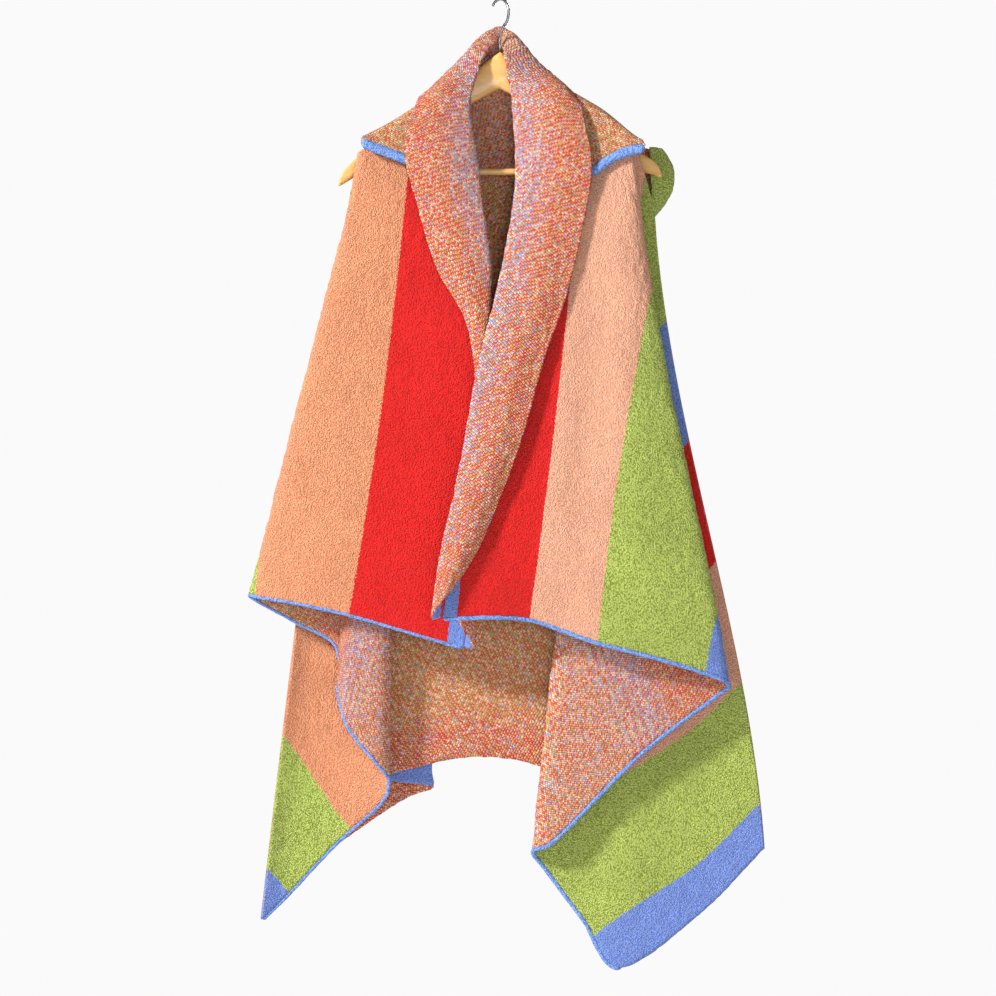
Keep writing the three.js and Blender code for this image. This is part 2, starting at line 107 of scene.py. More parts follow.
MARL = {
    "red": (0.68, 0.040, 0.028),
    "salmon": (0.84, 0.37, 0.20),
    "khaki": (0.44, 0.36, 0.08),
    "blue": (0.27, 0.34, 0.66),
    # Painted highlight: light salmon stitch tops shown as cream
    "cream highlight": (0.90, 0.66, 0.48),
}
MARL_SHARES = {
    "green": {"salmon": 0.38, "khaki": 0.27, "cream highlight": 0.13, "red": 0.18, "blue": 0.04},
    "salmon": {"salmon": 0.44, "khaki": 0.12, "cream highlight": 0.12, "red": 0.22, "blue": 0.10},
    "red": {"salmon": 0.28, "khaki": 0.07, "cream highlight": 0.16, "red": 0.20, "blue": 0.29},
    "blue": {"salmon": 0.40, "khaki": 0.11, "cream highlight": 0.07, "red": 0.36, "blue": 0.06},
    "red, far from the blue": {"salmon": 0.40, "khaki": 0.10, "cream highlight": 0.17, "red": 0.23, "blue": 0.10},
}

# Fold lines: each row runs from the shoulder down to the hem, like the rows of the part's source. The last
# five columns say which part of the flat cloth lies there: how far from the back end edge at the shoulder,
# the armpit, halfway and the hem, and how far from the side selvedge at the hem, in units of 1.373 mm.

Fold = namedtuple(
    "Fold",
    "name top_x top_y pit_x pit_y hem_x hem_y hem_z bow_x bow_y puff sway lift "
    "cloth_top cloth_pit cloth_mid cloth_hem up_hem",
)

LEFT_FRONT_FOLDS = (
    Fold("under the collar", 91, -30, 45, -52, -77, -98, -848, -10, -4, 0, 0, 0, 702, 747, 800, 830, 0),
    Fold("red stripe", 98, -31, 71, -53, -8, -92, -846, 0, -2, 0, 0, 0, 700, 731, 748, 758, 0),
    Fold("red to salmon", 112, -33, 95, -53, 41, -80, -850, 7, 0, 0, 0, 0, 690, 713, 702, 700, 0),
    Fold("salmon stripe", 138, -38, 138, -56, 88, -80, -865, 4, 0, 0, 0, 0, 667, 663, 644, 645, 0),
    Fold("salmon to green", 158, -43, 165, -57, 133, -84, -881, 6, 0, 0, 0, 0, 652, 639, 604, 591, 0),
    Fold("green stripe", 170, -47, 179, -56, 213, -76, -902, 0, 0, 0, 0, 0, 643, 626, 572, 532, 0),
    Fold("before the ridge", 176, -51, 187, -53, 292, -62, -927, -2, 0, 0, -3, 0, 638, 619, 544, 472, 0),
    Fold("front ridge", 178, -49.5, 190, -49, 312, -50, -940, -2, 0, 0, -3, 0, 635, 617, 536, 456, 0),
    Fold("behind the ridge", 178.5, -47.5, 187, -44, 296, -40, -955, -2, 0, 0, -3, 0, 632, 614, 526, 437, 0),
    Fold("side fold", 179.5, -46, 178, -40, 192, -38, -1035, 0, 0, 0, 0, 0, 628, 607, 464, 322, 0),
    Fold("before the valley", 180.5, -45, 169, -37, 77, -36, -1151, -8, 0, 0, 0, 0, 624, 600, 390, 180, 0),
    Fold("side valley", 181.5, -44, 166, -33, 47, -25, -1168, -10, 0, 0, 0, 0, 621, 597, 373, 150, 0),
    Fold("behind the valley", 182.5, -43, 171, -29, 66, -12, -1197, -6, 0, 0, 0, 0, 618, 595, 360, 124, 0),
    Fold("side panel", 184, -42, 181, -26, 117, -5, -1266, 0, 2, 0, 0, 0, 613, 590, 325, 61, 0),
    Fold("lower corner", 185.5, -41, 191, -24.5, 167, -10, -1332, 0, 4, 0, 0, 0, 608, 586, 293, 0, 0),
    Fold("end edge", 187, -40, 201, -23, 275, 2, -1260, 0, 4, 0, -4, 0, 604, 581, 290, 0, 101),
    Fold("side ridge", 188, -39, 211, -22, 364, 8, -1170, 0, 0, 0, -9, 0, 600, 577, 288, 0, 200),
)

RIGHT_FRONT_FOLDS = (
    Fold("under the collar", -86, -30, -62, -42, -50, -58, -890, 30, 0, 0, 0, 0, 735, 762, 818, 830, 0),
    Fold("red stripe", -103, -31, -97, -46, -137, -62, -864, 22, 0, 0, 0, 0, 716, 731, 759, 758, 0),
    Fold("red to salmon", -121, -34, -132, -50, -206, -66, -844, 7, 0, 0, 0, 0, 697, 701, 702, 701, 0),
    Fold("salmon stripe", -150, -41, -167, -54, -273, -66, -829, 5, 0, 0, 0, 0, 671, 668, 657, 643, 0),
    Fold("before the ridge", -184, -50, -203, -54, -327, -62, -820, 0, 0, 0, 0, 0, 640, 632, 614, 596, 0),
    Fold("front ridge", -191, -48.5, -208, -49, -342, -51, -817, 0, 0, 0, 0, 0, 634, 625, 606, 585, 0),
    Fold("behind the ridge", -191, -46.5, -205, -44, -331, -42, -826, 0, 0, 0, 0, 0, 630, 622, 596, 570, 0),
    Fold("side fold", -189.5, -45, -197, -40, -281, -30, -854, 0, 0, 0, 0, 0, 626, 614, 560, 507, 0),
    Fold("inner crease", -188.5, -44, -188, -36, -224, -21, -889, 0, 0, 0, 0, 0, 622, 606, 518, 432, 0),
    Fold("roll side", -188, -43, -184, -35.5, -222, -30, -950, 0, 0, 0, 0, 0, 619, 602, 488, 373, 0),
    Fold("roll front", -187.5, -42, -179, -35, -206, -44, -1000, 0, 0, 0, 0, 0, 616, 598, 457, 316, 0),
    Fold("before the valley", -187, -41, -172, -32, -168, -40, -1048, 5, 0, 0, 0, 0, 613, 594, 422, 249, 0),
    Fold("side valley", -187.5, -40, -169, -27, -153, -24, -1072, 7, 2, 0, 0, 0, 610, 591, 404, 218, 0),
    Fold("behind the valley", -188.5, -39, -174, -22, -165, -7, -1105, 4, 3, 0, 0, 0, 607, 589, 389, 189, 0),
    Fold("side panel", -190, -38, -184, -18, -228, 5, -1163, 0, 4, 0, 0, 0, 603, 585, 356, 128, 0),
    Fold("near the corner", -192, -37, -196, -17, -295, 3, -1234, 0, 4, 0, 0, 0, 601, 581, 316, 38, 0),
    Fold("lower corner", -194, -36, -206, -19, -328, -8, -1266, -3, 2, 0, 0, 0, 600, 577, 289, 0, 0),
)

BACK_FOLDS = (
    Fold("left side ridge", 207, -8, 211, -22, 364, 8, -1170, 0, 0, 0, -9, 18, 570, 577, 288, 0, 200),
    Fold("armhole flap", 222, 0, 210, -6, 344, 30, -1163, 0, 0, 24, -9, 28, 582, 570, 288, 0, 240),
    Fold("left shoulder blade", 196, 13, 198, 12, 268, 52, -1135, 0, 4, 16, -6, 10, 605, 566, 286, 0, 310),
    Fold("left pleat top", 166, 14, 178, 20, 150, 56, -1094, 6, 10, 0, 0, 0, 650, 558, 282, 0, 395),
    Fold("left pleat edge", 158, 14, 168, 21, 118, 46, -1086, 10, 4, 0, 0, 0, 656, 556, 280, 0, 420),
    Fold("left pleat under", 150, 14, 160, 21, 150, 35, -1086, 6, 0, 0, 0, 0, 662, 556, 280, 0, 445),
    Fold("left pleat inside", 142, 13, 150, 20, 238, 31, -1088, -10, -1, 0, 0, 0, 668, 554, 280, 0, 510),
    Fold("left pleat root", 134, 13, 141, 19, 262, 22, -1084, -14, -3, 0, 0, 0, 674, 552, 278, 0, 528),
    Fold("left back", 122, 12, 130, 18, 236, 13, -1080, -10, -6, 0, 0, 0, 682, 550, 276, 0, 548),
    Fold("left of centre", 84, 11, 82, 17, 96, 12, -1066, 0, 0, 0, 0, 0, 705, 546, 273, 0, 650),
    Fold("centre back", 4, 11, 4, 17, 14, 18, -1046, 0, 0, 0, 0, 0, 742, 544, 272, 0, 710),
    Fold("right of centre", -74, 11, -72, 17, -58, 12, -1045, 0, 0, 0, 0, 0, 712, 546, 273, 0, 765),
    Fold("right back", -120, 12, -128, 18, -150, 9, -1066, 0, -4, 0, 0, 0, 682, 550, 276, 0, 832),
    Fold("right pleat root", -132, 13, -139, 19, -176, 18, -1076, 6, -3, 0, 0, 0, 674, 552, 278, 0, 854),
    Fold("right pleat inside", -140, 13, -148, 20, -150, 28, -1078, 8, -1, 0, 0, 0, 668, 554, 280, 0, 876),
    Fold("right pleat edge", -150, 14, -160, 21, -93, 42, -1087, -8, 3, 0, 0, 0, 662, 556, 280, 0, 920),
    Fold("right pleat top", -160, 14, -172, 20, -140, 52, -1108, -4, 8, 0, 0, 0, 654, 558, 282, 0, 958),
    Fold("right shoulder blade", -176, 13, -194, 12, -250, 40, -1186, 0, 4, 0, 0, 0, 605, 566, 286, 0, 1060),
    Fold("armhole edge", -187, 8, -207, -6, -318, 10, -1256, 0, 2, -2, 0, -9, 584, 570, 288, 0, 1130),
    Fold("right lower corner", -189, 2, -206, -19, -328, -8, -1266, -3, 2, -3, 0, -9, 572, 577, 289, 0, 1155),
)

# The collar's sections, from the left hem up round the neck and down to the right hem

Section = namedtuple("Section", "edge crest roll inner")

COLLAR_SECTIONS = (
    Section((-65, -107, -810), (-80, -115, -828), (-92, -108, -848), (-79.5, -99, -848)),
    Section((-30, -97, -754), (-55, -109, -761), (-82, -104, -772), (-67, -94, -769)),
    Section((21, -86, -629), (-11, -99, -632), (-51, -94, -636), (-40.5, -84, -634)),
    Section((59, -75, -498), (20, -88, -500), (-27, -83, -505), (-11, -73, -502)),
    Section((92, -67, -401), (48, -80, -401), (-1, -72, -401), (14.5, -63.5, -401)),
    Section((118, -66, -287), (70, -72, -285), (21, -60, -284), (45, -51, -290)),
    Section((124, -68, -225), (76, -71, -222), (23, -51, -216), (67, -40, -222)),
    Section((113, -57, -166), (72, -56, -150), (19, -40, -165), (76, -31, -172)),
    Section((109, -41, -146), (76, -44, -124), (16, -32, -132), (62, -26, -146)),
    Section((105, -16, -137), (70, -20, -107), (11, -22, -104), (44, -20, -118)),
    Section((99, 24, -154), (54, -4, -88), (9, -14, -84), (28, -13, -88)),
    Section((48, 44, -206), (32, 16, -62), (5, 3, -62), (17, 13, -72)),
    Section((0, 44, -212), (0, 26, -47), (0, 15, -52), (0, 20, -86)),
    Section((-48, 44, -206), (-32, 16, -60), (-11, 3, -60), (-20, 13, -72)),
    Section((-101, 24, -152), (-55, -4, -84), (-24, -14, -80), (-40, -13, -94)),
    Section((-109, -16, -136), (-74, -20, -108), (-34, -24, -106), (-52, -20, -122)),
    Section((-114, -41, -147), (-82, -46, -130), (-41, -36, -134), (-64, -27, -148)),
    Section((-120, -57, -168), (-86, -54, -156), (-42, -42, -164), (-71, -31, -174)),
    Section((-129, -68, -216), (-82, -70, -216), (-32, -50, -216), (-74, -38, -218)),
    Section((-112, -66, -285), (-70, -68, -285), (-25, -56, -285), (-62, -43, -290)),
    Section((-85, -62, -373), (-50, -69, -373), (-13, -60, -373), (-44, -46, -373)),
    Section((-41, -60, -463), (-28, -66, -463), (-15, -60, -463), (-27, -48, -463)),
    Section((-32, -63, -620), (-20, -68, -620), (-4, -62, -620), (-14, -52, -620)),
    Section((-58, -71, -850), (-46, -76, -872), (-37, -68, -890), (-47.5, -60, -890)),
)

# The yokes' sections, from under the collar out to the shoulder tip

Yoke = namedtuple("Yoke", "back top brow face low")

LEFT_YOKE_SECTIONS = (
    Yoke((100, 8.3, -142), (101, -10, -131), (104, -37, -138), (111, -46, -178), (119, -57, -238)),
    Yoke((140, 8.3, -167), (141, -14, -155), (143, -43.5, -161), (146, -50.5, -186), (150, -57.5, -216)),
    Yoke((176, 6, -196), (176, -18, -185), (177, -50, -187), (177.5, -58, -195), (179, -61, -205)),
    Yoke((190, 5, -209), (191, -20, -200), (194, -51, -198), (196, -58, -201), (198, -61, -204)),
)

RIGHT_YOKE_SECTIONS = (
    Yoke((-100, 8.3, -147), (-101, -10, -141), (-104, -36, -145), (-110, -44, -172), (-119, -56.5, -220)),
    Yoke((-140, 8.3, -176), (-141, -14, -168), (-143, -42.5, -170), (-145, -50, -186), (-149, -58, -209)),
    Yoke((-176, 6, -200), (-176, -18, -190), (-177, -49, -188), (-177.5, -56, -193), (-179, -61, -199)),
    Yoke((-186, 4, -207), (-186.5, -20, -197), (-187, -50, -193), (-188, -57, -194), (-189, -61, -197)),
)

# Where the collar's outer edge and the yokes' back edge lie on the cloth, counted like the fold lines'
# columns, and the height above which both faces of the collar show the wrong side

COLLAR_EDGE = 857
YOKE_EDGE = 590
NECK_LEVEL = -112

# The collar's outer edge on the wearer's left stands forward, most at this height

STANDING_EDGE = {"forward": 5.0, "z": -470, "reach": 190}

# The spacing of points along and across the collar and the yokes

COLLAR_GRID = (6.0, 4.2)
YOKE_GRID = (3.5, 3.5)
BAND_RADIUS = 6.8
BAND_GAP = 0.3
BAND_PILE = 0.9

# The rim's reach beyond the outermost points, in wall thicknesses, and how it varies along the edge

RIM = {"reach": 0.4, "spread": 0.22, "length": 5.2, "seed": 11}

# The hanger, its bar and its hook

HANGER = {
    "reach": 222,
    "peak_z": -71,
    "peak_drop": 51,
    "tip": 11,
    "middle": 17,
    "sweep": 25,
    "left_tip_lift": 12,
    "lift_from": 180,
    "under_slope": 0.52,
    "under_curve": 0.0005,
    "rounded_from": 0.78,
    "rounded_over": 0.22,
    "least_height": 6.0,
}
BAR = {"radius": 4.5, "reach": 200, "y": -20.5, "z": -238, "steps": 60}
HOOK = {"wire": 2, "ring": 20, "turn": 53, "shank_z": -71, "start": -62, "end": 150, "step": 8}

# The stage, in metres and watts

Light = namedtuple("Light", "name place size power")

LIGHTS = (
    Light("key_light", (-3.5, -2.6, 1.7), 0.6, 365),
    Light("fill_light", (0.5, -4.6, -0.5), 1.2, 54),
    Light("back_light", (1.2, 4.2, 0.6), 1.6, 150),
)
LIGHT_AIM = (0, 0, -0.65)
ROOM_STRENGTH = 0.27
FLOOR = {"level": -1.6, "reach": 4, "back": 1.4}
SENSOR = 36


def shoulder_z(x):
    return SHOULDER_Z - SHOULDER_SLOPE * (np.abs(x) - SHOULDER_X)


def fold_lines(folds, drop, above, below):
    """Points down each fold line, in millimetres."""
    lines = []
    for fold in folds:
        top = np.array([fold.top_x, fold.top_y, shoulder_z(fold.top_x) - drop + fold.lift])
        pit = np.array([fold.pit_x, fold.pit_y, ARMPIT_Z])
        hem = np.array([fold.hem_x, fold.hem_y, fold.hem_z])
        bow = np.array([fold.bow_x, fold.bow_y, 0.0])
        upper_share = (top[2] - pit[2]) / (pit[2] - hem[2])
        sway = np.array([10.4 * fold.sway, 0.0, 0.0])
        leaving = (hem - pit + 4 * bow + sway) * upper_share
        t = (np.arange(above) / above)[:, None]
        upper = top + (pit - top) * t + (pit - top - leaving) * t * t * (1 - t)
        upper[:, 0] += (4 * t * (1 - t) * fold.puff)[:, 0]
        s = (np.arange(below + 1) / below)[:, None]
        lower = pit + (hem - pit) * s + bow * 4 * s * (1 - s) + sway * s * (1 - s) * (1 - 2 * s)
        lines.append(np.vstack([upper, lower]))
    return np.array(lines)


def flat_cloth(folds, lines, above, below, is_back):
    """The flat cloth's two coordinates at each point of the fold lines, in millimetres."""
    t, s = np.arange(above) / above, np.arange(below + 1) / below
    across, up = [], []
    for fold, line in zip(folds, lines):
        bend = 4 * fold.cloth_mid - 2 * (fold.cloth_pit + fold.cloth_hem)
        upper = fold.cloth_top + (fold.cloth_pit - fold.cloth_top) * t
        lower = fold.cloth_pit + (fold.cloth_hem - fold.cloth_pit) * s + bend * s * (1 - s)
        across.append(np.concatenate([upper, lower]) * MM_PER_PIXEL)
        steps = np.linalg.norm(np.diff(line, axis=0), axis=1)
        rise = np.sqrt(np.maximum(steps**2 - np.diff(across[-1]) ** 2, 0.04 * steps**2))
        from_hem = np.concatenate([[0], np.cumsum(rise[::-1])])[::-1]
        up.append(fold.up_hem * MM_PER_PIXEL + from_hem)
    across, up = np.array(across), np.array(up)
    if is_back:
        between = np.linalg.norm(np.diff(lines, axis=0), axis=2)
        up = up[:1] + np.concatenate([np.zeros((1, up.shape[1])), np.cumsum(between, axis=0)])
    return np.stack([across, up], axis=-1)


def fill_between(lines, counts):
    """Rounded in-between lines: Catmull-Rom across the lines, with that many steps in each interval."""
    parts = []
    last = len(lines) - 1
    for i, count in enumerate(counts):
        p, q, r, s = lines[max(i - 1, 0)], lines[i], lines[i + 1], lines[min(i + 2, last)]
        for t in np.arange(count) / count:
            parts.append(q + 0.5 * t * (r - p + t * (2 * p - 5 * q + 4 * r - s + t * (3 * (q - r) + s - p))))
    parts.append(lines[-1])
    return np.array(parts)


def counts_for(lines, spacing, least=2):
    """Steps for each interval so that the widest part of it is split finer than the spacing."""
    widths = np.linalg.norm(np.diff(lines, axis=0), axis=2).max(axis=1)
    return [max(least, int(math.ceil(w / spacing))) for w in widths]


def unit(vectors):
    return vectors / np.maximum(np.linalg.norm(vectors, axis=-1, keepdims=True), 1e-9)


def grid_normals(points):
    return unit(np.cross(np.gradient(points, axis=0), np.gradient(points, axis=1)))


def smooth_noise(coords, scale, seed, octaves=2):
    """Value noise on two flat coordinates, from -1 to 1, the same every time."""
    total, weight, reach = np.zeros(coords.shape[:-1]), 1.0, 0.0
    for octave in range(octaves):
        p = coords / scale * 2**octave + 17.3 * seed + 5.1 * octave
        cell = np.floor(p)
        f = p - cell
        f = f * f * (3 - 2 * f)

        def corner(dx, dy):
            h = np.sin((cell[..., 0] + dx) * 127.1 + (cell[..., 1] + dy) * 311.7 + seed * 74.7) * 43758.5453
            return 2 * (h - np.floor(h)) - 1

        low = corner(0, 0) * (1 - f[..., 0]) + corner(1, 0) * f[..., 0]
        high = corner(0, 1) * (1 - f[..., 0]) + corner(1, 1) * f[..., 0]
        total += weight * (low * (1 - f[..., 1]) + high * f[..., 1])
        reach += weight
        weight *= 0.5
    return total / reach


def link_object(name, mesh):
    obj = bpy.data.objects.new(name, mesh)
    bpy.context.scene.collection.objects.link(obj)
    return obj


def shell(name, points, cloth, right_sign, materials, thickness):
    """A closed thin shell round a grid of points in millimetres: right side, wrong side and a rounded rim."""
    ni, nj = points.shape[:2]
    normals = grid_normals(points) * right_sign
    right = points + normals * thickness / 2
    wrong = points - normals * thickness / 2
    index = np.arange(ni * nj).reshape(ni, nj)
    quads = np.stack([index[:-1, :-1], index[1:, :-1], index[1:, 1:], index[:-1, 1:]], axis=-1).reshape(-1, 4)
    if right_sign < 0:
        quads = quads[:, ::-1]
    count = ni * nj
    loop = np.concatenate([index[:, 0], index[-1, 1:], index[-2::-1, -1], index[0, -2:0:-1]])
    out_i, out_j = unit(np.gradient(points, axis=0)), unit(np.gradient(points, axis=1))
    out = np.zeros_like(points)
    out[0] -= out_i[0]
    out[-1] += out_i[-1]
    out[:, 0] -= out_j[:, 0]
    out[:, -1] += out_j[:, -1]
    nub = RIM["reach"] + RIM["spread"] * smooth_noise(cloth, RIM["length"], RIM["seed"], 1)[..., None]
    rim = (points + unit(out) * thickness * nub).reshape(-1, 3)[loop]
    verts = np.concatenate([right.reshape(-1, 3), wrong.reshape(-1, 3), rim]) * 0.001
    ring = np.arange(len(loop))
    nxt = (ring + 1) % len(loop)
    a, b, ra, rb = loop, loop[nxt], 2 * count + ring, 2 * count + nxt
    rim_right = np.stack([b, a, ra, rb], axis=-1)
    rim_wrong = np.stack([a + count, b + count, rb, ra], axis=-1)
    if right_sign < 0:
        rim_right, rim_wrong = rim_right[:, ::-1], rim_wrong[:, ::-1]
    faces = np.concatenate([quads, quads[:, ::-1] + count, rim_right, rim_wrong])
    slots = np.concatenate(
        [np.zeros(len(quads)), np.ones(len(quads)), np.zeros(len(ring)), np.ones(len(ring))]
    ).astype(int)
    flat = cloth.reshape(-1, 2)
    uvs = np.concatenate([flat, flat, flat[loop]]) * 0.001
    return mesh_object(name, verts, faces, uvs, slots, materials)


def mesh_object(name, verts, faces, uvs, slots, materials):
    mesh = bpy.data.meshes.new(name)
    mesh.vertices.add(len(verts))
    mesh.vertices.foreach_set("co", np.asarray(verts, np.float32).ravel())
    mesh.loops.add(faces.size)
    mesh.loops.foreach_set("vertex_index", faces.astype(np.int32).ravel())
    mesh.polygons.add(len(faces))
    mesh.polygons.foreach_set("loop_start", np.arange(len(faces), dtype=np.int32) * 4)
    mesh.polygons.foreach_set("use_smooth", np.ones(len(faces), bool))
    for material in materials:
        mesh.materials.append(material)
    mesh.polygons.foreach_set("material_index", np.asarray(slots, np.int32))
    layer = mesh.uv_layers.new(name="Cloth")
    layer.data.foreach_set("uv", np.asarray(uvs, np.float32)[faces.ravel()].ravel())
    mesh.update(calc_edges=True)
    mesh.validate()
    return link_object(name, mesh)


def tube(name, centres, across, over, radius, sides, material, pile=0.0, seed=1):
    """A closed tube with rounded ends along centres in millimetres, with two crossing directions at each."""
    steps = np.concatenate([[0], np.cumsum(np.linalg.norm(np.diff(centres, axis=0), axis=1))])
    end = np.minimum(steps, steps[-1] - steps) / radius
    swell = np.sqrt(np.clip(1 - (1 - np.clip(end, 0, 1)) ** 2, 0.02, 1))
    angles = np.arange(sides) * 2 * np.pi / sides
    coords = np.stack(np.meshgrid(steps, angles * radius, indexing="ij"), axis=-1)
    bump = pile * smooth_noise(coords, 2.6, seed, 2)
    r = (radius * swell)[:, None] + bump * swell[:, None]
    rings = (
        centres[:, None, :]
        + r[..., None] * np.cos(angles)[None, :, None] * across[:, None, :]
        + r[..., None] * np.sin(angles)[None, :, None] * over[:, None, :]
    )
    return ring_object(name, rings, material, coords)


def ring_object(name, rings, material, coords=None):
    """A closed object through rings of points, with a cloth map where coordinates are given."""
    count, sides = rings.shape[:2]
    index = np.arange(count * sides).reshape(count, sides)
    around = np.roll(index, -1, axis=1)
    faces = np.stack([index[:-1], index[1:], around[1:], around[:-1]], axis=-1).reshape(-1, 4).tolist()
    faces += [index[0][::-1].tolist(), index[-1].tolist()]
    mesh = bpy.data.meshes.new(name)
    mesh.from_pydata((rings.reshape(-1, 3) * 0.001).tolist(), [], faces)
    mesh.polygons.foreach_set("use_smooth", np.ones(len(mesh.polygons), bool))
    mesh.materials.append(material)
    if coords is not None:
        layer = mesh.uv_layers.new(name="Cloth")
        vertex = np.zeros(len(mesh.loops), np.int32)
        mesh.loops.foreach_get("vertex_index", vertex)
        uv = coords.reshape(-1, 2) * 0.001
        layer.data.foreach_set("uv", uv[vertex].astype(np.float32).ravel())
    mesh.update()
    face_outwards(mesh)
    return link_object(name, mesh)


def face_outwards(mesh):
    work = bmesh.new()
    work.from_mesh(mesh)
    bmesh.ops.recalc_face_normals(work, faces=work.faces)
    work.to_mesh(mesh)
    work.free()


# Shared shading


def new_group(name, inputs, outputs):
    group = bpy.data.node_groups.new(name, "ShaderNodeTree")
    for label, kind, default in inputs:
        socket = group.interface.new_socket(label, in_out="INPUT", socket_type=kind)
        if default is not None:
            socket.default_value = default
    for label, kind in outputs:
        group.interface.new_socket(label, in_out="OUTPUT", socket_type=kind)
    return group, group.nodes.new("NodeGroupInput"), group.nodes.new("NodeGroupOutput")


def math_node(tree, operation, a, b=None):
    node = tree.nodes.new("ShaderNodeMath")
    node.operation = operation
    for slot, value in enumerate((a, b)):
        if value is None:
            continue
        if isinstance(value, (int, float)):
            node.inputs[slot].default_value = value
        else:
            tree.links.new(value, node.inputs[slot])
    return node.outputs[0]


def noise_node(tree, vector, scale, detail=2.0, rough=0.5):
    node = tree.nodes.new("ShaderNodeTexNoise")
    node.inputs["Scale"].default_value = scale
    node.inputs["Detail"].default_value = detail
    node.inputs["Roughness"].default_value = rough
    tree.links.new(vector, node.inputs["Vector"])
    return node


def ramp_node(tree, value, stops, mode="LINEAR"):
    node = tree.nodes.new("ShaderNodeValToRGB")
    node.color_ramp.interpolation = mode
    elements = node.color_ramp.elements
    while len(elements) > 1:
        elements.remove(elements[0])
    elements[0].position = stops[0][0]
    elements[0].color = (*stops[0][1], 1)
    for position, colour in stops[1:]:
        elements.new(position).color = (*colour, 1)
    tree.links.new(value, node.inputs[0])
    return node.outputs["Color"]


def mix_colours(tree, mode, factor, a, b):
    node = tree.nodes.new("ShaderNodeMix")
    node.data_type = "RGBA"
    node.blend_type = mode
    for socket, value in ((node.inputs[0], factor), (node.inputs[6], a), (node.inputs[7], b)):
        if isinstance(value, (int, float)):
            socket.default_value = value
        elif isinstance(value, tuple):
            socket.default_value = (*value, 1)
        else:
            tree.links.new(value, socket)
    return node.outputs[2]


def object_coordinates(tree):
    return tree.nodes.new("ShaderNodeTexCoord").outputs["Object"]


def stitch_coordinates(tree):
    uv = tree.nodes.new("ShaderNodeUVMap")
    uv.uv_map = "Cloth"
    return uv.outputs["UV"]


def shared_group(name, maker):
    return bpy.data.node_groups.get(name) or maker(name)


def use_group(tree, group, **inputs):
    node = tree.nodes.new("ShaderNodeGroup")
    node.node_tree = group
    for label, value in inputs.items():
        if isinstance(value, (int, float)):
            node.inputs[label].default_value = value
        else:
            tree.links.new(value, node.inputs[label])
    return node


def stripe_group(name):
    """Which stripe a point of the flat cloth lies in, by its number in STRIPES, and how far across it is."""
    inputs = [("Cloth", "NodeSocketVector", None), ("Shift", "NodeSocketFloat", 0.0)]
    outputs = [("Stripe", "NodeSocketFloat"), ("Across", "NodeSocketFloat")]
    group, start, end = new_group(name, inputs, outputs)
    split = group.nodes.new("ShaderNodeSeparateXYZ")
    group.links.new(start.outputs["Cloth"], split.inputs[0])
    wobble = noise_node(group, start.outputs["Cloth"], 330, 1.0)
    shift = math_node(group, "MULTIPLY", math_node(group, "SUBTRACT", wobble.outputs[0], 0.5), 0.007)
    place = math_node(group, "DIVIDE", math_node(group, "ADD", split.outputs[0], shift), STRIPE * 0.001)
    place = math_node(group, "ADD", place, start.outputs["Shift"])
    place = math_node(group, "SUBTRACT", place, FIRST_STRIPE)
    number = math_node(group, "FLOOR", place)
    group.links.new(math_node(group, "FLOORED_MODULO", number, len(STRIPES)), end.inputs["Stripe"])
    group.links.new(math_node(group, "FRACT", place), end.inputs["Across"])
    return group


def birdseye_group(name):
    """Slanting stitches in a lattice: which yarn each takes, a chance of its own, and its rounded height."""
    outputs = [("Pick", "NodeSocketFloat"), ("Chance", "NodeSocketFloat"), ("Height", "NodeSocketFloat")]
    group, start, end = new_group(name, [("Cloth", "NodeSocketVector", None)], outputs)
    bend = noise_node(group, start.outputs["Cloth"], 90, 1.0)
    shift = group.nodes.new("ShaderNodeVectorMath")
    shift.operation = "MULTIPLY_ADD"
    shift.inputs[1].default_value = (0.004, 0.004, 0.0)
    group.links.new(bend.outputs["Color"], shift.inputs[0])
    group.links.new(start.outputs["Cloth"], shift.inputs[2])
    turn = group.nodes.new("ShaderNodeVectorRotate")
    turn.rotation_type = "Z_AXIS"
    turn.inputs["Angle"].default_value = math.radians(STITCH_SLANT)
    group.links.new(shift.outputs[0], turn.inputs["Vector"])
    split = group.nodes.new("ShaderNodeSeparateXYZ")
    group.links.new(turn.outputs[0], split.inputs[0])
    cells, domes = [], []
    for axis, size in enumerate(STITCH_SIZES):
        place = math_node(group, "DIVIDE", split.outputs[axis], size)
        cells.append(math_node(group, "FLOOR", place))
        off = math_node(group, "SUBTRACT", math_node(group, "FRACT", place), 0.5)
        domes.append(math_node(group, "MULTIPLY", math_node(group, "ABSOLUTE", off), 2.0))
    joined = group.nodes.new("ShaderNodeCombineXYZ")
    for axis, cell in enumerate(cells):
        group.links.new(cell, joined.inputs[axis])
    chance = group.nodes.new("ShaderNodeTexWhiteNoise")
    chance.noise_dimensions = "2D"
    group.links.new(joined.outputs[0], chance.inputs["Vector"])
    along = math_node(group, "MULTIPLY", cells[0], 0.381966)
    order = math_node(group, "ADD", along, math_node(group, "MULTIPLY", cells[1], 0.7))
    loose = math_node(group, "MULTIPLY", chance.outputs["Value"], 0.35)
    pick = math_node(group, "FRACT", math_node(group, "ADD", order, loose))
    edge = math_node(group, "MAXIMUM", domes[0], domes[1])
    height = math_node(group, "SUBTRACT", 1.0, math_node(group, "MULTIPLY", edge, edge))
    group.links.new(pick, end.inputs["Pick"])
    group.links.new(chance.outputs["Value"], end.inputs["Chance"])
    group.links.new(height, end.inputs["Height"])
    return group


